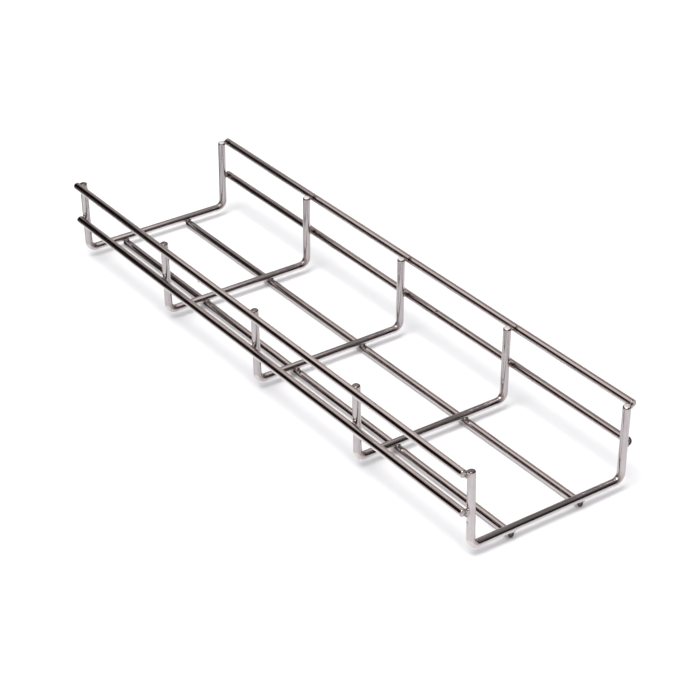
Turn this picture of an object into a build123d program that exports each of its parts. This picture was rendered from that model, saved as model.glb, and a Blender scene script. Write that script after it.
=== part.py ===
from build123d import *
import os
from math import cos, radians, sin, tan

# A short section of welded wire cable tray. Five U-shaped cross wires stand in a row
# along X. Six straight long wires lie against their outside: two under the floor and
# two along each side. The wires are welded together wherever they cross.
#
# Millimetres, +Z up. The origin is the centre of the footprint, on the plane that the
# floor wires rest on. Seen along +X, the +Y side is the left side.

# Driving dimensions
wire_diameter = 4.7
cross_wire_count = 5
cross_wire_pitch = 100.0
floor_width = 102.6         # between the centrelines of a cross wire's two legs, at the floor
leg_height = 47.5           # from a cross wire's floor centreline to the cut top of its legs
leg_lean = 1.0              # degrees that each leg leans outwards
bend_inside_radius = 2.8
floor_wire_spacing = 47.6   # between the centrelines of the two floor wires
side_wire_heights = {"lower": 22.4, "upper": 46.4}  # centrelines, above the cross wires' floor
rear_overhang = 0.6         # long wires past the centreline of the rearmost cross wire
weld_set_down = 0.2         # how far welding presses one wire into the other
weld_radius = 1.9           # the ring of weld metal squeezed out round each crossing
cut_end_rounding = 0.4      # deburred edge of every long wire's cut ends
leg_top_rounding = 1.0      # the tops of the legs are rounded over for safe handling

# Sizes that follow from them
wire_radius = wire_diameter / 2
contact_distance = wire_diameter - weld_set_down
bend_radius = bend_inside_radius + wire_radius
half_floor_width = floor_width / 2
cross_wire_z = wire_radius + contact_distance
cross_wire_span = (cross_wire_count - 1) * cross_wire_pitch
cross_wire_x = [
    -cross_wire_span / 2 + index * cross_wire_pitch for index in range(cross_wire_count)
]
rear_end_x = cross_wire_x[0] - rear_overhang
long_wire_length = rear_overhang + cross_wire_span
front_end_x = rear_end_x + long_wire_length
leg_top_z = cross_wire_z + leg_height

side_signs = {"left": 1, "right": -1}


def leg_y(height):
    """Distance from the tray's centre plane to a leg's centreline, at a height above the floor."""
    return half_floor_width + height * tan(radians(leg_lean))


def floor_wire_axis(side):
    """Y and Z of the centreline of the floor wire on one side."""
    return side_signs[side] * floor_wire_spacing / 2, wire_radius


def side_wire_axis(side, height):
    """Y and Z of the side wire that lies against the legs at a height above the floor."""
    y = leg_y(height) + contact_distance / cos(radians(leg_lean))
    return side_signs[side] * y, cross_wire_z + height


def export(part, name):
    part.label = name
    export_step(part, f"parts/{name}.step")


def cross_wire_at(x):
    """One U-shaped wire: a floor, two tight bends and two legs that lean outwards."""
    with BuildPart() as cross_wire:
        with BuildLine(Plane.YZ.offset(x)) as centreline:
            FilletPolyline(
                (-leg_y(leg_height), leg_top_z),
                (-half_floor_width, cross_wire_z),
                (half_floor_width, cross_wire_z),
                (leg_y(leg_height), leg_top_z),
                radius=bend_radius,
            )
        with BuildSketch(Plane(origin=centreline.line @ 0, z_dir=centreline.line % 0)):
            Circle(wire_radius)
        sweep()
        leg_tops = cross_wire.faces().filter_by(GeomType.PLANE)
        fillet(leg_tops.edges(), leg_top_rounding)
    return cross_wire.part


def long_wire_at(axis, cross_wires):
    """One straight wire along X, pressed a little into every cross wire that it lies against."""
    with BuildPart() as long_wire:
        with BuildSketch(Plane.YZ.offset(rear_end_x)):
            with Locations(axis):
                Circle(wire_radius)
        extrude(amount=long_wire_length)
        cut_ends = long_wire.faces().filter_by(Axis.X)
        fillet(cut_ends.edges(), cut_end_rounding)
        for cross_wire in cross_wires:
            add(cross_wire, mode=Mode.SUBTRACT)
    return long_wire.part


def welds_at(crossings, cross_wire, long_wires):
    """The rings of weld metal at some crossings of one cross wire, fitted between the wires."""
    with BuildPart() as welds:
        for middle, direction in crossings:
            with BuildSketch(Plane(origin=middle, z_dir=direction)):
                Circle(weld_radius)
            extrude(amount=wire_radius, both=True)
        split(bisect_by=Plane.YZ.offset(rear_end_x + cut_end_rounding), keep=Keep.TOP)
        split(bisect_by=Plane.YZ.offset(front_end_x - cut_end_rounding), keep=Keep.BOTTOM)
        split(bisect_by=Plane.XY.offset(leg_top_z - cut_end_rounding), keep=Keep.BOTTOM)
        add(cross_wire, mode=Mode.SUBTRACT)
        for long_wire in long_wires:
            add(long_wire, mode=Mode.SUBTRACT)
    return welds.part


def floor_crossing(x, side):
    """Midpoint and direction of the weld between a cross wire's floor and a floor wire."""
    y, z = floor_wire_axis(side)
    return (x, y, z + contact_distance / 2), (0, 0, 1)


def side_crossing(x, side, height):
    """Midpoint and direction of the weld between a leg and a side wire."""
    y, z = side_wire_axis(side, height)
    inward_y = -side_signs[side] * cos(radians(leg_lean))
    inward_z = sin(radians(leg_lean))
    half = contact_distance / 2
    return (x, y + inward_y * half, z + inward_z * half), (0, inward_y, inward_z)


os.makedirs("parts", exist_ok=True)

# Cross wires, numbered from the rear end (-X) to the front end (+X)
cross_wires = [cross_wire_at(x) for x in cross_wire_x]
for number, cross_wire in enumerate(cross_wires, start=1):
    export(cross_wire, f"cross_wire_{number}")

# Long wires
long_wires = {}
for side in side_signs:
    long_wires[f"floor_wire_{side}"] = long_wire_at(floor_wire_axis(side), cross_wires)
    for level, height in side_wire_heights.items():
        axis = side_wire_axis(side, height)
        long_wires[f"{level}_side_wire_{side}"] = long_wire_at(axis, cross_wires)
for name, long_wire in long_wires.items():
    export(long_wire, name)

# Welds, in pairs: for each cross wire, two at the floor and two on each side
for number, (x, cross_wire) in enumerate(zip(cross_wire_x, cross_wires), start=1):
    floor_crossings = [floor_crossing(x, side) for side in side_signs]
    floor_wires = [long_wires[f"floor_wire_{side}"] for side in side_signs]
    export(welds_at(floor_crossings, cross_wire, floor_wires), f"floor_welds_{number}")
    for side in side_signs:
        side_crossings = [side_crossing(x, side, height) for height in side_wire_heights.values()]
        side_wires = [long_wires[f"{level}_side_wire_{side}"] for level in side_wire_heights]
        export(welds_at(side_crossings, cross_wire, side_wires), f"{side}_side_welds_{number}")
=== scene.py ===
import math
import random
from collections import namedtuple

import bpy
import numpy as np
from mathutils import Matrix, Vector, noise


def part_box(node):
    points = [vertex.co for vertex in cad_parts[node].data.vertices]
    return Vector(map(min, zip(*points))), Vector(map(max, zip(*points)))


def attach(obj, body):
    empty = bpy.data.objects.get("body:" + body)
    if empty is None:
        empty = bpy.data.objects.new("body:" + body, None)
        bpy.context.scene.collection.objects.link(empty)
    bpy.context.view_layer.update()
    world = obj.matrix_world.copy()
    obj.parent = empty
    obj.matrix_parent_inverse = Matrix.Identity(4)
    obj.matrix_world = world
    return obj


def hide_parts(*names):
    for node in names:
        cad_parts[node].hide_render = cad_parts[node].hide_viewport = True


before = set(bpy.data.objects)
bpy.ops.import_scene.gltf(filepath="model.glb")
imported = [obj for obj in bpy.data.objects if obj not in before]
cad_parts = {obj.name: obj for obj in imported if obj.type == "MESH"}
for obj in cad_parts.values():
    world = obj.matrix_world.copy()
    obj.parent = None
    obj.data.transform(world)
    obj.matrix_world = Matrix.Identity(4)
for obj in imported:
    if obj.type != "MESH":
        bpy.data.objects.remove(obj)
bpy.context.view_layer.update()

# ---------------------------------------------------------------------------
# Sizes. Metres, +Z up, +X towards the front end. Most are read from the CAD frame.
# ---------------------------------------------------------------------------
MM = 0.001
SIDES = {"left": 1, "right": -1}
LEVELS = ("lower", "upper")
LEAN = math.radians(1.0)  # each leg leans outwards
BEND_RADIUS = 5.15 * MM  # centreline radius of the two bends in a cross wire
EDGE = 0.4 * MM  # rounding of a long wire's cut end
LEG_EDGE = 1.0 * MM  # rounding of a leg top


def middle(node):
    low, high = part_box(node)
    return (low + high) / 2


floor_low, floor_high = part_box("floor_wire_left")
WIRE = (floor_high.z - floor_low.z) / 2  # wire radius
REAR_X = floor_low.x
FRONT_X = floor_high.x
cross_names = sorted(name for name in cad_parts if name.startswith("cross_wire_"))
cross_x = [middle(name).x for name in cross_names]
rib_low, rib_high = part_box(cross_names[0])
FLOOR_Z = rib_low.z + WIRE  # centreline of a cross wire's floor
LEG_TOP_Z = rib_high.z - WIRE * math.sin(LEAN)
LEG_TOP_Y = rib_high.y - WIRE * math.cos(LEAN)
HALF_FLOOR = LEG_TOP_Y - (LEG_TOP_Z - FLOOR_Z) * math.tan(LEAN)
floor_wire_y = {side: middle(f"floor_wire_{side}").y for side in SIDES}
side_wire_at = {}
for level in LEVELS:
    for side in SIDES:
        centre = middle(f"{level}_side_wire_{side}")
        side_wire_at[level, side] = (centre.y, centre.z)


# ---------------------------------------------------------------------------
# Mesh helpers
# ---------------------------------------------------------------------------
def smooth_noise(position, seed):
    return noise.noise(Vector((position, seed * 7.31, seed * 1.7)))


def spaced(start, stop, coarse, fine, fine_places, reach):
    """Positions from start to stop: coarse steps, and fine ones near each of fine_places."""
    places = set()
    steps = max(1, round((stop - start) / coarse))
    for i in range(steps + 1):
        places.add(round(start + (stop - start) * i / steps, 7))
    for place in fine_places:
        count = round(reach / fine)
        for i in range(-count, count + 1):
            p = place + i * fine
            if start < p < stop:
                places.add(round(p, 7))
    ordered = sorted(places)
    kept = [ordered[0]]
    for p in ordered[1:-1]:
        if p - kept[-1] > fine * 0.45 and stop - p > fine * 0.45:
            kept.append(p)
    kept.append(ordered[-1])
    return kept


def closed_tube(start, ring_count, around):
    """Faces that join a row of rings and close each end on a point. Both points follow the last ring."""
    faces = []
    for i in range(ring_count - 1):
        a, b = start + i * around, start + (i + 1) * around
        for j in range(around):
            k = (j + 1) % around
            faces.append((a + j, a + k, b + k, b + j))
    last = start + (ring_count - 1) * around
    hub = last + around
    for j in range(around):
        k = (j + 1) % around
        faces.append((hub, start + k, start + j))
        faces.append((hub + 1, last + j, last + k))
    return faces


def smooth_mesh(name, points, faces):
    mesh = bpy.data.meshes.new(name)
    mesh.from_pydata(points, [], faces)
    mesh.polygons.foreach_set("use_smooth", [True] * len(faces))
    return mesh


def sheet(name, half_x, half_y):
    """A flat rectangle round its own origin."""
    corners = [(-half_x, -half_y, 0), (half_x, -half_y, 0), (half_x, half_y, 0), (-half_x, half_y, 0)]
    mesh = bpy.data.meshes.new(name)
    mesh.from_pydata(corners, [], [(0, 1, 2, 3)])
    return mesh


def add_piece(name, mesh, materials, node):
    """Put a mesh in the scene in place of one CAD node."""
    piece = bpy.data.objects.new(name, mesh)
    bpy.context.scene.collection.objects.link(piece)
    for material in materials:
        mesh.materials.append(material)
    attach(piece, "root")
    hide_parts(node)


# ---------------------------------------------------------------------------
# Wires: round bars swept along a line, with sheared ends
# ---------------------------------------------------------------------------
# One sheared end: the direction and slope of its tilt, how far its middle stands out, the rounding
# of its rim and the material index of its face
Cut = namedtuple("Cut", "towards tilt dome rounding face")

AROUND = 56  # points in one ring
ANGLES = np.linspace(0, 2 * math.pi, AROUND, endpoint=False)
RIM_STEPS = 8  # rings that round a rim over
FACE_SHARES = (0.72, 0.5, 0.28, 0.1)  # radii of the rings on a face, as shares of its own radius
CUT_CLEARANCE = 0.1 * MM  # between the last plain ring and a cut
FINE_STEP = 0.8 * MM  # between rings near a weld
FINE_REACH = 4 * MM  # on each side of it


def cut_profile(cut):
    """Radius, push and material index of each ring of a sheared end, from the wire's side inwards."""
    if cut.rounding > EDGE:
        # On a rim rounded more than a long wire's end, the outer rings take material 1: on a leg top,
        # its dark painted shade
        rim = (0, 0, 0, 1, 1, 1, cut.face, cut.face)
    else:
        rim = (0,) * RIM_STEPS
    profile = []
    for i, material in enumerate(rim):
        a = math.radians(90 * i / (RIM_STEPS - 1))
        radius = WIRE - cut.rounding * (1 - math.cos(a))
        profile.append((radius, -cut.rounding + cut.rounding * math.sin(a), material))
    for share in FACE_SHARES:
        radius = (WIRE - cut.rounding) * share
        profile.append((radius, cut.dome * (1 - share**2), cut.face))
    return profile


def swept_rings(spine, across, cuts):
    """Rings of points along a spine of (point, tangent), with each point's place along and across
    the wire and each ring's material index. across is at right angles to every tangent."""
    rings, places, materials = [], [], []

    def ring(at, radius, push, towards, tilt, material):
        point, tangent, up, travelled = at
        offset = push + radius * tilt * np.cos(ANGLES - towards)
        p = point + np.outer(offset, tangent)
        p = p + radius * (np.outer(np.cos(ANGLES), across) + np.outer(np.sin(ANGLES), up))
        rings.append(p)
        place = [travelled + offset, radius * np.cos(ANGLES), radius * np.sin(ANGLES)]
        places.append(np.stack(place, axis=1))
        materials.append(material)

    def sheared_end(at, sign, cut):
        """The start of a wire has sign -1 and runs outwards from its face."""
        base = -abs(cut.tilt) * WIRE
        for radius, push, material in cut_profile(cut)[::sign]:
            ring(at, radius, sign * (push + base), cut.towards, sign * cut.tilt, material)

    def set_back(cut):
        return 2 * abs(cut.tilt) * WIRE + cut.rounding + CUT_CLEARANCE

    frames = []
    length = 0.0
    for point, tangent in spine:
        point, tangent = np.array(point, float), np.array(tangent, float)
        if frames:
            length += float(np.linalg.norm(point - frames[-1][0]))
        frames.append((point, tangent, np.cross(tangent, across), length))
    sheared_end(frames[0], -1, cuts[0])
    for at in frames[1:-1]:
        if set_back(cuts[0]) < at[3] < length - set_back(cuts[1]):
            ring(at, WIRE, 0.0, 0.0, 0.0, 0)
    sheared_end(frames[-1], 1, cuts[1])
    return rings, places, materials


def nearness(points, centre, reach):
    """1 at the centre, fading to nothing over the reach."""
    d = np.linalg.norm(points - np.array(centre), axis=1)
    return np.exp(-((d / reach) ** 2))


def dented(points, places, rings, marks):
    """Move points out or in at each mark, and tell how strongly each point is marked."""
    marks_and_reflections = np.zeros(len(points))
    radius = np.linalg.norm(places[:, 1:], axis=1, keepdims=True)
    axis = np.repeat([ring.mean(0) for ring in rings], AROUND, axis=0)
    for centre, reach, height in marks:
        weight = nearness(points, centre, reach)
        marks_and_reflections = np.maximum(marks_and_reflections, weight)
        outward = (points - axis) / np.maximum(radius, 1e-9)
        points = points + outward * (weight * height)[:, None]
    return points, marks_and_reflections


def wire_mesh(name, spine, across, tint_points, cuts, marks):
    """One wire. tint_points holds (centre, reach) of each brown tint, and marks holds (centre, reach,
    height) of each small dent, burr or painted leg reflection, each also coloured dark."""
    rings, ring_places, ring_materials = swept_rings(spine, np.array(across, float), cuts)
    places = np.concatenate(ring_places)
    points, marks_and_reflections = dented(np.concatenate(rings), places, rings, marks)
    points = np.vstack([points, rings[0].mean(0), rings[-1].mean(0)])
    places = np.vstack([places, ring_places[0].mean(0), ring_places[-1].mean(0)])
    marks_and_reflections = np.append(marks_and_reflections, [0.0, 0.0])
    brown_tint = np.zeros(len(points))
    for centre, reach in tint_points:
        brown_tint = np.maximum(brown_tint, nearness(points, centre, reach))
    materials = []
    for one, following in zip(ring_materials, ring_materials[1:]):
        materials += [max(one, following)] * AROUND
    materials += [cuts[0].face, cuts[1].face] * AROUND

    mesh = smooth_mesh(name, points.tolist(), closed_tube(0, len(rings), AROUND))
    mesh.polygons.foreach_set("material_index", materials)
    place = mesh.attributes.new("wire_place", "FLOAT_VECTOR", "POINT")
    place.data.foreach_set("vector", places.astype(np.float32).ravel())
    for key, values in (("weld_and_bend_tint", brown_tint), ("mark_and_reflection", marks_and_reflections)):
        shade = mesh.attributes.new(key, "FLOAT", "POINT")
        shade.data.foreach_set("value", values.astype(np.float32))
    mesh.update()
    return mesh


# ---------------------------------------------------------------------------
# Materials
# ---------------------------------------------------------------------------
class Nodes:
    """A short way to write node trees."""

    def __init__(self, tree):
        self.tree = tree
        tree.nodes.clear()

    def add(self, kind, **settings):
        node = self.tree.nodes.new(kind)
        for key, value in settings.items():
            setattr(node, key, value)
        return node

    def link(self, out, into):
        self.tree.links.new(out, into)

    def attribute(self, name, output):
        return self.add("ShaderNodeAttribute", attribute_name=name).outputs[output]

    def math(self, operation, a, b=None, clamp=False):
        node = self.add("ShaderNodeMath", operation=operation, use_clamp=clamp)
        for socket, value in zip(node.inputs, (a, b)):
            if isinstance(value, (int, float)):
                socket.default_value = value
            elif value is not None:
                self.link(value, socket)
        return node.outputs[0]

    def split(self, vector):
        node = self.add("ShaderNodeSeparateXYZ")
        self.link(vector, node.inputs[0])
        return node.outputs

    def noise(self, vector, stretch, detail=2.0, roughness=0.5):
        """Soft noise; stretch is how many times it varies in a metre along each axis."""
        scaled = self.add("ShaderNodeVectorMath", operation="MULTIPLY")
        self.link(vector, scaled.inputs[0])
        scaled.inputs[1].default_value = stretch
        node = self.add("ShaderNodeTexNoise")
        node.inputs["Scale"].default_value = 1.0
        node.inputs["Detail"].default_value = detail
        node.inputs["Roughness"].default_value = roughness
        self.link(scaled.outputs[0], node.inputs["Vector"])
        return node.outputs[0]

    def spread(self, value, low_in, high_in, low_out, high_out, smooth=False):
        node = self.add("ShaderNodeMapRange")
        if smooth:
            node.interpolation_type = "SMOOTHSTEP"
        self.link(value, node.inputs[0])
        for i, v in enumerate((low_in, high_in, low_out, high_out), start=1):
            node.inputs[i].default_value = v
        return node.outputs[0]

    def mix(self, factor, a, b):
        node = self.add("ShaderNodeMix", data_type="RGBA")
        self.link(factor, node.inputs["Factor"])
        for socket, value in ((node.inputs[6], a), (node.inputs[7], b)):
            if isinstance(value, tuple):
                socket.default_value = (*value, 1.0)
            else:
                self.link(value, socket)
        return node.outputs[2]

    def bump(self, height, strength, distance, surface):
        node = self.add("ShaderNodeBump")
        node.inputs["Strength"].default_value = strength
        node.inputs["Distance"].default_value = distance
        self.link(height, node.inputs["Height"])
        self.link(node.outputs[0], surface.inputs["Normal"])


def new_material(name, metallic):
    """A material, its nodes and its surface node."""
    material = bpy.data.materials.new(name)
    material.use_nodes = True
    n = Nodes(material.node_tree)
    out = n.add("ShaderNodeOutputMaterial")
    surface = n.add("ShaderNodeBsdfPrincipled")
    n.link(surface.outputs[0], out.inputs[0])
    surface.inputs["Metallic"].default_value = metallic
    return material, n, surface


HEAT_TINT = (0.30, 0.24, 0.21)
HEAT_AMOUNT = 0.7
HEAT_ROUGHNESS = 0.30  # added where the brown tint is full: round a weld, and in a bend
# Dark colour of dents and scars, and of the painted reflections of the legs in the side wires
MARK_AND_REFLECTION_TINT = (0.07, 0.05, 0.045)


def steel(name, colour, dark_colour, roughness):
    """Bright drawn wire: fine lines and streaks along it, faint stains, and a brown tint with a duller
    surface where it was heated and in the bends. Dents, scars and painted reflections of the legs are
    dark."""
    material, n, surface = new_material(name, 1.0)
    place = n.attribute("wire_place", "Vector")
    brown_tint = n.attribute("weld_and_bend_tint", "Fac")
    mark_and_reflection = n.attribute("mark_and_reflection", "Fac")
    lines = n.noise(place, (60, 5200, 5200), 3.0, 0.6)
    streaks = n.noise(place, (24, 900, 900))
    blotches = n.noise(place, (160, 420, 420), 3.0, 0.6)
    pits = n.noise(place, (1500, 1900, 1900), 2.0, 0.6)
    shade = n.math("ADD", n.math("MULTIPLY", streaks, 0.55), n.math("MULTIPLY", blotches, 0.45))
    tone = n.mix(n.spread(shade, 0.35, 0.65, 0.0, 1.0, True), dark_colour, colour)
    browned = n.math("MULTIPLY", brown_tint, n.spread(blotches, 0.3, 0.6, 0.35, 1.0), clamp=True)
    tinted = n.mix(n.math("MULTIPLY", browned, HEAT_AMOUNT), tone, HEAT_TINT)
    # Real marks and painted reflection: dark at dents, scars and the spots that stand for the legs
    # mirrored in the side wires
    with_marks_and_reflections = n.mix(n.spread(mark_and_reflection, 0.15, 0.8, 0.0, 0.92, True), tinted, MARK_AND_REFLECTION_TINT)
    n.link(with_marks_and_reflections, surface.inputs["Base Color"])
    rough = n.spread(lines, 0.3, 0.7, roughness * 0.75, roughness * 1.25)
    rough = n.math("ADD", rough, n.math("MULTIPLY", browned, HEAT_ROUGHNESS))
    n.link(rough, surface.inputs["Roughness"])
    height = n.math("ADD", n.math("MULTIPLY", lines, 0.5), n.math("MULTIPLY", pits, 0.35))
    height = n.math("ADD", height, n.math("MULTIPLY", blotches, 1.2))
    n.bump(height, 0.35, 0.00002, surface)
    return material


def sheared_steel(name, dark, light, smooth, rough):
    """The face of a cut wire: smooth shear with patches of torn metal."""
    material, n, surface = new_material(name, 1.0)
    place = n.attribute("wire_place", "Vector")
    torn = n.noise(place, (900, 1500, 2600), 4.0, 0.65)
    lines = n.noise(place, (400, 700, 6000))
    n.link(n.mix(n.spread(torn, 0.35, 0.7, 0, 1), dark, light), surface.inputs["Base Color"])
    n.link(n.spread(torn, 0.3, 0.7, smooth, rough), surface.inputs["Roughness"])
    n.bump(n.math("ADD", torn, n.math("MULTIPLY", lines, 0.6)), 0.6, 0.00008, surface)
    return material


def weld_metal():
    """Squeezed-out weld metal: patches of dark and light steel, with a blue heat tint in places."""
    material, n, surface = new_material("weld_metal", 1.0)
    place = n.add("ShaderNodeTexCoord").outputs["Object"]
    coarse = n.noise(place, (900, 900, 900), 3.0, 0.6)
    fine = n.noise(place, (5200, 5200, 5200), 3.0, 0.6)
    patches = n.spread(coarse, 0.35, 0.65, 0, 1, True)
    patchy = n.mix(patches, (0.22, 0.185, 0.175), (0.60, 0.56, 0.55))
    tinted = n.mix(n.spread(fine, 0.55, 0.75, 0, 0.5), patchy, (0.20, 0.22, 0.27))
    n.link(tinted, surface.inputs["Base Color"])
    n.link(n.spread(fine, 0.3, 0.7, 0.2, 0.38), surface.inputs["Roughness"])
    n.bump(n.math("ADD", coarse, n.math("MULTIPLY", fine, 0.4)), 0.7, 0.00008, surface)
    return material


CROSS_STEEL = steel("polished_cross_wire", (0.545, 0.505, 0.51), (0.47, 0.435, 0.44), 0.11)
LONG_STEEL = steel("polished_long_wire", (0.55, 0.50, 0.495), (0.475, 0.43, 0.425), 0.10)
CUT_STEEL = sheared_steel("sheared_end", (0.28, 0.25, 0.245), (0.46, 0.42, 0.415), 0.3, 0.45)
# Leg tops, one cut steel in two colours: dark as painted shade on the near tops and every rim, light as
# painted highlight on the far tops
SHADED_LEG_TOP = sheared_steel("leg_top_painted_shade", (0.09, 0.078, 0.075), (0.36, 0.33, 0.325), 0.12, 0.22)
LIT_LEG_TOP = sheared_steel("leg_top_painted_highlight", (0.80, 0.76, 0.75), (0.97, 0.93, 0.92), 0.5, 0.7)
# A cut face coloured nearly black: painted shade, for wire ends that lie in the shade under other wire
SHADED_END_STEEL = sheared_steel("end_in_painted_shade", (0.05, 0.04, 0.04), (0.16, 0.14, 0.14), 0.3, 0.5)
WELD_STEEL = weld_metal()

# ---------------------------------------------------------------------------
# Welds
# ---------------------------------------------------------------------------
# Each weld sits between a long wire and a cross wire: its middle, the direction from the long
# wire to the cross wire, the direction of the cross wire there, and how far apart the two
# centrelines are.
weld_at = {}
for number, x in enumerate(cross_x, start=1):
    for side, sign in SIDES.items():
        between = Vector((x, floor_wire_y[side], (WIRE + FLOOR_Z) / 2))
        upwards, across = Vector((0, 0, 1)), Vector((0, 1, 0))
        weld_at[number, side, "floor"] = (between, upwards, across, FLOOR_Z - WIRE)
        inward = Vector((0, -sign * math.cos(LEAN), math.sin(LEAN)))
        leg_up = Vector((0, sign * math.sin(LEAN), math.cos(LEAN)))
        for level in LEVELS:
            wire_y, wire_z = side_wire_at[level, side]
            leg_y = HALF_FLOOR + (wire_z - FLOOR_Z) * math.tan(LEAN)
            apart = (abs(wire_y) - leg_y) * math.cos(LEAN)
            between = Vector((x, wire_y, wire_z)) + inward * (apart / 2)
            weld_at[number, side, level] = (between, inward, leg_up, apart)

HEAT_REACH = 2.6 * MM  # of the heat tint round a weld


def heat_on_cross_wire(number):
    return [(tuple(weld[0]), HEAT_REACH) for key, weld in weld_at.items() if key[0] == number]


def heat_on_long_wire(level, side):
    return [(tuple(weld[0]), HEAT_REACH) for key, weld in weld_at.items() if key[1:] == (side, level)]


# Shape of a collar of weld metal, in millimetres
NECK = 1.56  # mean radius halfway between the wires
NECK_LUMP = 0.18
NECK_RIPPLE = 0.05
FOOT = 2.10  # mean radius where it meets the wires
FOOT_LUMP = 0.12
FRONT_FULLNESS = 1.3  # how much wider the necks are on the front legs
FRONT_FOOT_FULLNESS = 1.08

SINK = 0.16 * MM  # how far a collar goes into each wire
CAP_DISTANCE = 0.9 * MM  # from a collar's middle to the points that close it inside the wires
PAST_REAR = 1.2 * MM  # how far weld metal may stand past the long wires' ends
PAST_FRONT = 1.3 * MM
COLLAR_AROUND = 40
COLLAR_STEPS = 10


def weld_mesh(name, welds, seed):
    """Spool-shaped collars of weld metal, closed inside the two wires that they join."""
    rng = random.Random(seed)
    points, faces = [], []
    along = Vector((1, 0, 0))
    for centre, to_cross, cross_dir, apart in welds:
        start = len(points)
        turn = rng.uniform(0, 50)
        on_front_leg = cross_dir.z > 0.5 and abs(centre.x - FRONT_X) < MM
        fullness = FRONT_FULLNESS if on_front_leg else 1.0
        for i in range(COLLAR_STEPS + 1):
            t = -1 + 2 * i / COLLAR_STEPS
            for j in range(COLLAR_AROUND):
                a = 2 * math.pi * j / COLLAR_AROUND
                lump = noise.noise(Vector((math.cos(a) * 1.6, math.sin(a) * 1.6, turn)))
                ripple = noise.noise(Vector((math.cos(a) * 4, math.sin(a) * 4, turn + 9 + t)))
                neck = (NECK + NECK_LUMP * lump + NECK_RIPPLE * ripple) * fullness * MM
                foot = (FOOT + FOOT_LUMP * lump) * min(fullness, FRONT_FOOT_FULLNESS) * MM
                r = neck + (foot - neck) * abs(t) ** 2.0
                u = r * math.cos(a)
                v = r * math.sin(a)
                low = -apart / 2 + math.sqrt(max(WIRE**2 - v**2, 1e-12)) - SINK
                high = apart / 2 - math.sqrt(max(WIRE**2 - u**2, 1e-12)) + SINK
                w = low + (high - low) * (t + 1) / 2
                p = centre + along * u + cross_dir * v + to_cross * w
                p.x = max(REAR_X - PAST_REAR, min(p.x, FRONT_X + PAST_FRONT))
                p.z = min(p.z, LEG_TOP_Z - LEG_EDGE * 0.5)
                points.append(p)
        points.append(centre - to_cross * CAP_DISTANCE)
        points.append(centre + to_cross * CAP_DISTANCE)
        faces += closed_tube(start, COLLAR_STEPS + 1, COLLAR_AROUND)
    mesh = smooth_mesh(name, [tuple(p) for p in points], faces)
    mesh.update()
    return mesh


# ---------------------------------------------------------------------------
# Long wires
# ---------------------------------------------------------------------------
LONG_STEP = 3.2 * MM  # between rings away from the welds
LONG_WAVES = 16  # how many times in a metre a long wire sways
LONG_SWAY = 0.07 * MM
NICK_STEP = 0.4 * MM
NICK_REACH = 2 * MM

# Small dents and burrs: distance along X, direction out of the wire as Y and Z, reach, height
Nick = namedtuple("Nick", "x side_way up_way reach height")
NICKS = {
    ("upper", "right"): [
        Nick(cross_x[1] + 0.050, -0.8, -0.6, 0.8 * MM, 0.6 * MM),
        Nick(cross_x[3] + 0.023, 0.5, 0.9, 0.8 * MM, -0.16 * MM),
    ],
    ("lower", "left"): [Nick(cross_x[2] + 0.031, -0.4, 0.9, 0.8 * MM, -0.10 * MM)],
    ("floor", "right"): [Nick(cross_x[0] + 0.058, 0.2, 1.0, 0.9 * MM, -0.10 * MM)],
}

# Painted reflections of the legs on the side wires: a dark spot with a slight bump, one in front of
# every leg but the front one
LEG_REFLECTION_X = 4.4 * MM  # from the leg's centreline
LEG_REFLECTION_REACH = 1.6 * MM
LEG_REFLECTION_BUMP = 0.12 * MM
LEG_REFLECTION_INWARD = 0.75  # towards the leg and upwards from the wire's centreline, in wire radii
LEG_REFLECTION_UP = 0.66

SHEARED, SHADED_END = 1, 2  # material indices of a long wire's faces: sheared, and dark as painted shade
ROUNDED = 0.9 * MM  # rounding of the right side wires' front ends
# The rear and front end of each long wire. The floor wires' and the left lower wire's front ends are
# coloured dark as painted shade.
LONG_CUTS = {
    ("floor", "left"): (
        Cut(0.3, 0.10, 0.10 * MM, EDGE, SHEARED),
        Cut(-1.57, 0.30, 0.12 * MM, EDGE, SHADED_END),
    ),
    ("floor", "right"): (
        Cut(2.1, 0.08, 0.10 * MM, EDGE, SHEARED),
        Cut(-1.40, 0.28, 0.12 * MM, EDGE, SHADED_END),
    ),
    ("lower", "left"): (
        Cut(1.2, 0.06, 0.10 * MM, EDGE, SHEARED),
        Cut(-1.57, 0.34, 0.10 * MM, EDGE, SHADED_END),
    ),
    ("lower", "right"): (
        Cut(4.0, 0.10, 0.10 * MM, EDGE, SHEARED),
        Cut(1.3, 0.06, 0.16 * MM, ROUNDED, SHEARED),
    ),
    ("upper", "left"): (
        Cut(5.0, 0.07, 0.10 * MM, EDGE, SHEARED),
        Cut(0.4, 0.04, 0.08 * MM, EDGE, SHEARED),
    ),
    ("upper", "right"): (
        Cut(1.8, 0.10, 0.10 * MM, EDGE, SHEARED),
        Cut(1.4, 0.05, 0.16 * MM, ROUNDED, SHEARED),
    ),
}


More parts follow.
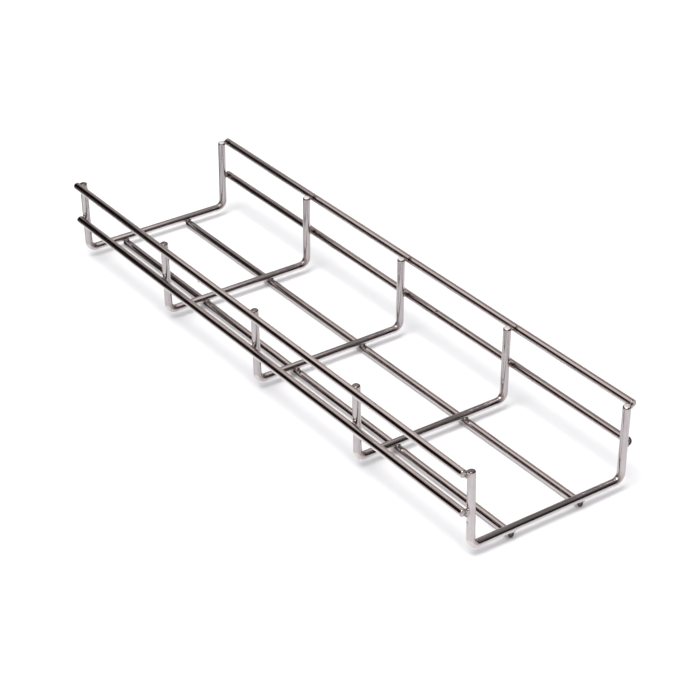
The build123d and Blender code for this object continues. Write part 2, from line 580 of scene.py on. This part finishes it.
def long_wire(node, level, side, y, z, seed):
    nicks = NICKS.get((level, side), [])
    places = spaced(REAR_X, FRONT_X, LONG_STEP, FINE_STEP, cross_x, FINE_REACH)
    if nicks:
        near_nicks = [nick.x for nick in nicks]
        more = spaced(REAR_X, FRONT_X, LONG_STEP, NICK_STEP, near_nicks, NICK_REACH)
        places = sorted(set(places) | set(more))
    spine = []
    for x in places:
        sway = LONG_SWAY * smooth_noise(x * LONG_WAVES, seed)
        bow = LONG_SWAY * smooth_noise(x * LONG_WAVES, seed + 50)
        lift = abs(bow) if level == "floor" else bow
        spine.append(((x, y + sway, z + lift), (1.0, 0.0, 0.0)))
    marks = []
    for nick in nicks:
        out = Vector((0, nick.side_way, nick.up_way)).normalized() * WIRE
        marks.append(((nick.x, y + out.y, z + out.z), nick.reach, nick.height))
    # Painted reflections of the legs: a dark spot with a slight bump in front of each leg
    if level != "floor":
        inner = y - SIDES[side] * WIRE * LEG_REFLECTION_INWARD
        for x in cross_x[:-1]:
            spot = (x + LEG_REFLECTION_X, inner, z + WIRE * LEG_REFLECTION_UP)
            marks.append((spot, LEG_REFLECTION_REACH, LEG_REFLECTION_BUMP))
    name = f"straight_{node}"
    brown_tint = heat_on_long_wire(level, side)
    mesh = wire_mesh(name, spine, (0, 1, 0), brown_tint, LONG_CUTS[level, side], marks)
    add_piece(name, mesh, (LONG_STEEL, CUT_STEEL, SHADED_END_STEEL), node)


seed = 1
for side in SIDES:
    long_wire(f"floor_wire_{side}", "floor", side, floor_wire_y[side], WIRE, seed)
    seed += 1
    for level in LEVELS:
        long_wire(f"{level}_side_wire_{side}", level, side, *side_wire_at[level, side], seed)
        seed += 1


# ---------------------------------------------------------------------------
# Cross wires
# ---------------------------------------------------------------------------
CROSS_STEP = 2.4 * MM  # between rings away from the welds
CROSS_WAVES = 30  # how many times in a metre a cross wire's floor sways
CROSS_SWAY = 0.06 * MM
BEND_STEPS = 24
DULL_REACH = 4.2 * MM  # of the brown tint and duller steel in a bend, as round a weld

# The scar on the outside of the near front leg
SCAR_HEIGHT = 16 * MM  # above the cross wire's floor
SCAR_REACH = 0.9 * MM
SCAR_DEPTH = 0.2 * MM
SCAR_BACK = 0.2  # behind the leg's centreline and out from it, in wire radii
SCAR_OUT = 0.98


def cross_spine(x, seed):
    """Points and tangents from the right leg's top, through the floor, to the left leg's top."""
    leg = (LEG_TOP_Z - FLOOR_Z) / math.cos(LEAN)
    turn = math.pi / 2 - LEAN
    bend = BEND_RADIUS * math.tan(turn / 2)  # how much of the leg the bend takes
    fine = [leg - (side_wire_at[level, "left"][1] - FLOOR_Z) for level in LEVELS]
    fine.append(leg - SCAR_HEIGHT)
    half = []
    for s in spaced(0, leg - bend, CROSS_STEP, FINE_STEP, fine, FINE_REACH):
        z = LEG_TOP_Z - s * math.cos(LEAN)
        y = -(HALF_FLOOR + (z - FLOOR_Z) * math.tan(LEAN))
        half.append(((y, z), LEAN))
    centre_y = -(HALF_FLOOR - bend)
    centre_z = FLOOR_Z + BEND_RADIUS
    for i in range(1, BEND_STEPS):
        a = LEAN + turn * i / BEND_STEPS
        y = centre_y - BEND_RADIUS * math.cos(a)
        z = centre_z - BEND_RADIUS * math.sin(a)
        half.append(((y, z), a))
    spine = []
    for (y, z), a in half:
        spine.append(((x, y, z), (0.0, math.sin(a), -math.cos(a))))
    fine = list(floor_wire_y.values())
    for y in spaced(centre_y, -centre_y, CROSS_STEP, FINE_STEP, fine, FINE_REACH):
        sway = CROSS_SWAY * smooth_noise(y * CROSS_WAVES, seed)
        spine.append(((x + sway, y, FLOOR_Z), (0.0, 1.0, 0.0)))
    for (y, z), a in reversed(half):
        spine.append(((x, -y, z), (0.0, math.sin(a), math.cos(a))))
    return spine


SHADED_TOP, LIT_TOP = 1, 2  # material indices of a leg top: painted shade and painted highlight
# The right and left leg top of each cross wire. The left ones are sheared at more of a slope. The right
# (near) tops take the dark painted shade, the left (far) tops the light painted highlight.
LEG_CUTS = [
    (Cut(1.0, 0.05, 0.16 * MM, LEG_EDGE, SHADED_TOP), Cut(2.5, 0.16, 0.10 * MM, LEG_EDGE, LIT_TOP)),
    (Cut(2.6, 0.06, 0.18 * MM, LEG_EDGE, SHADED_TOP), Cut(2.2, 0.15, 0.10 * MM, LEG_EDGE, LIT_TOP)),
    (Cut(5.2, 0.04, 0.15 * MM, LEG_EDGE, SHADED_TOP), Cut(2.7, 0.12, 0.12 * MM, LEG_EDGE, LIT_TOP)),
    (Cut(3.9, 0.05, 0.20 * MM, LEG_EDGE, SHADED_TOP), Cut(2.4, 0.14, 0.10 * MM, LEG_EDGE, LIT_TOP)),
    (Cut(0.4, 0.04, 0.17 * MM, LEG_EDGE, SHADED_TOP), Cut(2.4, 0.20, 0.08 * MM, LEG_EDGE, LIT_TOP)),
]


def cross_wire(number, node, x):
    marks = []
    if number == len(cross_x):
        leg_y = -(HALF_FLOOR + SCAR_HEIGHT * math.tan(LEAN))
        spot = (x - WIRE * SCAR_BACK, leg_y - WIRE * SCAR_OUT, FLOOR_Z + SCAR_HEIGHT)
        marks.append((spot, SCAR_REACH, -SCAR_DEPTH))
    inset = BEND_RADIUS * (1 - math.cos(math.pi / 4))
    brown_tint = heat_on_cross_wire(number)
    # The bends take the same brown tint and duller surface as the steel round a weld
    for sign in SIDES.values():
        brown_tint.append(((x, sign * (HALF_FLOOR - inset), FLOOR_Z + inset), DULL_REACH))
    name = f"bent_cross_wire_{number}"
    mesh = wire_mesh(name, cross_spine(x, number + 20), (1, 0, 0), brown_tint, LEG_CUTS[number - 1], marks)
    add_piece(name, mesh, (CROSS_STEEL, SHADED_LEG_TOP, LIT_LEG_TOP), node)


def weld_collars(name, keys, seed, node):
    mesh = weld_mesh(name, [weld_at[key] for key in keys], seed)
    add_piece(name, mesh, (WELD_STEEL,), node)


for number, (node, x) in enumerate(zip(cross_names, cross_x), start=1):
    cross_wire(number, node, x)
    keys = [(number, side, "floor") for side in SIDES]
    weld_collars(f"floor_weld_collars_{number}", keys, number, f"floor_welds_{number}")
    for side, sign in SIDES.items():
        keys = [(number, side, level) for level in LEVELS]
        name = f"{side}_side_weld_collars_{number}"
        weld_collars(name, keys, number * 10 + sign, f"{side}_side_welds_{number}")

# ---------------------------------------------------------------------------
# Table. The camera and soft light see it evenly white. Its colour in polished wire is painted
# reflection:
# mirrored rays see it dark where they reach it at a low angle, and brighter than white where they come
# down steeply.
#
# A straight wire doesn't change how a ray runs along it. So a ray from the camera that reaches the
# table by way of a long wire keeps the camera's X, and by way of a cross wire it keeps the
# camera's Y. The dark is for those rays. Seen from elsewhere, the wires mirror a plain table.
# ---------------------------------------------------------------------------
TABLE_HALF_WIDTH = 4.0
TABLE_DROP = 0.00002  # below the wires, so that no face lies in the table's own
TABLE_DARK = 0.008  # brightness in the mirror at a low angle, as a share of white
TABLE_PLAIN = 0.88  # the same elsewhere
CAMERA_X = 0.70  # X and Y of the direction towards the camera
CAMERA_Y = -0.49
LOW_RAYS = (0.19, 0.39)  # how steep a ray comes down, from dark to plain
STEEP_RAYS = (0.56, 0.74)  # from plain to bright
STEEP_GAIN = 0.5
NEARER_FRONT = 0.6  # how much sooner rays count as steep for each metre towards the front
CAMERA_HEADINGS = (0.17, 0.32)  # distance from the camera's X or Y, from dark to plain
GLOW_REACH = (0.25, 1.0)  # metres from the tray, over which the table starts to glow
GLOW = 0.25


def table_material():
    material, n, surface = new_material("white_table", 0.0)
    place = n.add("ShaderNodeTexCoord").outputs["Object"]
    cloud = n.noise(place, (3, 3, 3))
    paper = n.mix(cloud, (0.90, 0.90, 0.905), (0.89, 0.89, 0.90))
    incoming = n.split(n.add("ShaderNodeNewGeometry").outputs["Incoming"])
    down = incoming[2]
    near_front = n.math("MULTIPLY", n.split(place)[0], NEARER_FRONT)
    painted_reflection = n.spread(n.math("ADD", down, near_front), *LOW_RAYS, TABLE_DARK, TABLE_PLAIN, True)
    from_long = n.math("ABSOLUTE", n.math("SUBTRACT", incoming[0], CAMERA_X))
    from_cross = n.math("ABSOLUTE", n.math("SUBTRACT", incoming[1], CAMERA_Y))
    nearest = n.math("MINIMUM", from_long, from_cross)
    elsewhere = n.spread(nearest, *CAMERA_HEADINGS, 0.0, TABLE_PLAIN, True)
    painted_reflection = n.math("MAXIMUM", painted_reflection, elsewhere)
    mirrored = n.math("ADD", painted_reflection, n.spread(down, *STEEP_RAYS, 0.0, STEEP_GAIN, True))
    # Painted reflection: only mirrored rays see the table's colour scaled to this brightness
    in_mirror = n.add("ShaderNodeLightPath").outputs["Is Glossy Ray"]
    change = n.math("MULTIPLY", in_mirror, n.math("SUBTRACT", mirrored, 1.0))
    seen = n.add("ShaderNodeVectorMath", operation="SCALE")
    n.link(paper, seen.inputs[0])
    n.link(n.math("ADD", 1.0, change), seen.inputs["Scale"])
    n.link(seen.outputs[0], surface.inputs["Base Color"])
    # Painted light: the table glows, more the farther it lies from the tray
    away = n.add("ShaderNodeVectorMath", operation="LENGTH")
    n.link(place, away.inputs[0])
    glow = n.spread(away.outputs["Value"], *GLOW_REACH, 0.0, GLOW)
    n.link(glow, surface.inputs["Emission Strength"])
    surface.inputs["Emission Color"].default_value = (1.0, 1.0, 1.0, 1.0)
    surface.inputs["Roughness"].default_value = 0.9
    surface.inputs["Specular IOR Level"].default_value = 0.1
    return material


table_mesh = sheet("table_top", TABLE_HALF_WIDTH, TABLE_HALF_WIDTH)
table_mesh.materials.append(table_material())
table_top = bpy.data.objects.new("table_top", table_mesh)
table_top.location.z = -TABLE_DROP
bpy.context.scene.collection.objects.link(table_top)


# ---------------------------------------------------------------------------
# Light
# ---------------------------------------------------------------------------
def direction(azimuth, elevation):
    """Unit vector; azimuth 0 is +Y and 90 is +X."""
    a, e = math.radians(azimuth), math.radians(elevation)
    return (math.sin(a) * math.cos(e), math.cos(a) * math.cos(e), math.sin(e))


# One soft overhead lamp above the camera side, towards the front end. It faces the tray.
LAMP_PLACE = (0.36, -0.68, 2.0)
LAMP_SIZE = 0.95
LAMP_WATTS = 31.0
lamp = bpy.data.lights.new("overhead_softbox", "AREA")
lamp.shape = "SQUARE"
lamp.size = LAMP_SIZE
lamp.energy = LAMP_WATTS
lamp.color = (1.0, 0.985, 0.975)
key = bpy.data.objects.new("overhead_softbox", lamp)
key.location = LAMP_PLACE
key.rotation_euler = Vector(LAMP_PLACE).to_track_quat("Z", "Y").to_euler()
bpy.context.scene.collection.objects.link(key)


def light_card(name, centre, half_x, half_y, edge, strength, tint):
    """A flat soft-edged card that shows only in mirrored reflections."""
    mesh = sheet(name, half_x, half_y)
    card = bpy.data.objects.new(name, mesh)
    card.location = centre
    bpy.context.scene.collection.objects.link(card)
    material = bpy.data.materials.new(name)
    material.use_nodes = True
    n = Nodes(material.node_tree)
    out = n.add("ShaderNodeOutputMaterial")
    place = n.split(n.add("ShaderNodeTexCoord").outputs["Object"])
    along = n.spread(n.math("ABSOLUTE", place[0]), half_x - edge, half_x, 1.0, 0.0, True)
    aside = n.spread(n.math("ABSOLUTE", place[1]), half_y - edge, half_y, 1.0, 0.0, True)
    glow = n.add("ShaderNodeEmission")
    glow.inputs[0].default_value = (*tint, 1.0)
    glow.inputs[1].default_value = strength
    clear = n.add("ShaderNodeBsdfTransparent")
    blend = n.add("ShaderNodeMixShader")
    n.link(n.math("MULTIPLY", along, aside), blend.inputs[0])
    n.link(clear.outputs[0], blend.inputs[1])
    n.link(glow.outputs[0], blend.inputs[2])
    n.link(blend.outputs[0], out.inputs[0])
    mesh.materials.append(material)
    card.visible_camera = False
    card.visible_diffuse = False
    card.visible_shadow = False


# Two pale cards above the tray: one over its rear half, and a dimmer one past its rear end
light_card("upper_light_card", (-0.14, 0.0, 0.26), 0.27, 0.19, 0.10, 1.12, (1.0, 0.91, 0.88))
light_card("rear_light_card", (-0.45, 0.13, 0.26), 0.24, 0.23, 0.11, 0.45, (1.0, 0.93, 0.91))

# What polished wire mirrors of the studio: darkness with a few soft zones of light. Each zone is a
# round patch of sky: azimuth, elevation, degrees of full strength, degrees of reach, strength, tint.
ZONES = [
    (-40, 6, 8, 38, 0.85, (1.0, 0.90, 0.87)),
    (0, 58, 10, 56, 0.26, (1.0, 0.95, 0.93)),
    (-130, 10, 60, 110, 0.006, (1.0, 0.6, 0.55)),
    (135, 25, 20, 76, 0.50, (1.0, 0.96, 0.95)),
]
# What lights everything else evenly
AMBIENT_TINT = (0.985, 0.985, 1.0)
AMBIENT_STRENGTH = 0.82


def studio_world():
    world = bpy.data.worlds.new("studio")
    world.use_nodes = True
    n = Nodes(world.node_tree)
    out = n.add("ShaderNodeOutputWorld")
    here = n.add("ShaderNodeTexCoord").outputs["Generated"]
    total = None
    for azimuth, elevation, inner, reach, strength, tint in ZONES:
        dot = n.add("ShaderNodeVectorMath", operation="DOT_PRODUCT")
        n.link(here, dot.inputs[0])
        dot.inputs[1].default_value = direction(azimuth, elevation)
        angle = n.math("ARCCOSINE", dot.outputs["Value"])
        amount = n.spread(angle, math.radians(inner), math.radians(reach), strength, 0.0, True)
        colour = n.add("ShaderNodeVectorMath", operation="SCALE")
        colour.inputs[0].default_value = tint
        n.link(amount, colour.inputs["Scale"])
        if total is None:
            total = colour.outputs[0]
        else:
            both = n.add("ShaderNodeVectorMath", operation="ADD")
            n.link(total, both.inputs[0])
            n.link(colour.outputs[0], both.inputs[1])
            total = both.outputs[0]
    mirrored = n.add("ShaderNodeBackground")
    n.link(total, mirrored.inputs[0])
    ambient = n.add("ShaderNodeBackground")
    ambient.inputs[0].default_value = (*AMBIENT_TINT, 1.0)
    ambient.inputs[1].default_value = AMBIENT_STRENGTH
    which = n.add("ShaderNodeMixShader")
    n.link(n.add("ShaderNodeLightPath").outputs["Is Glossy Ray"], which.inputs[0])
    n.link(ambient.outputs[0], which.inputs[1])
    n.link(mirrored.outputs[0], which.inputs[2])
    n.link(which.outputs[0], out.inputs[0])
    return world


bpy.context.scene.world = studio_world()

# ---------------------------------------------------------------------------
# Camera
# ---------------------------------------------------------------------------
CAMERA_TARGET = (0.03262, -0.00852, 0.02785)
CAMERA_AZIMUTH = 125.169
CAMERA_ELEVATION = 30.973
CAMERA_DISTANCE = 1.187
CAMERA_ROLL = -0.30
CAMERA_LENS = 105.94  # millimetres, on a sensor 36 mm wide
lens = bpy.data.cameras.new("photo_view")
lens.sensor_width = 36.0
lens.lens = CAMERA_LENS
lens.clip_start = 0.05
lens.clip_end = 30.0
camera = bpy.data.objects.new("photo_view", lens)
back = Vector(direction(CAMERA_AZIMUTH, CAMERA_ELEVATION))
camera.location = Vector(CAMERA_TARGET) + back * CAMERA_DISTANCE
turn = (-back).to_track_quat("-Z", "Y").to_matrix()
turn = turn @ Matrix.Rotation(math.radians(CAMERA_ROLL), 3, "Z")
camera.rotation_euler = turn.to_euler()
bpy.context.scene.collection.objects.link(camera)
bpy.context.scene.camera = camera
bpy.context.scene.view_settings.view_transform = "Standard"
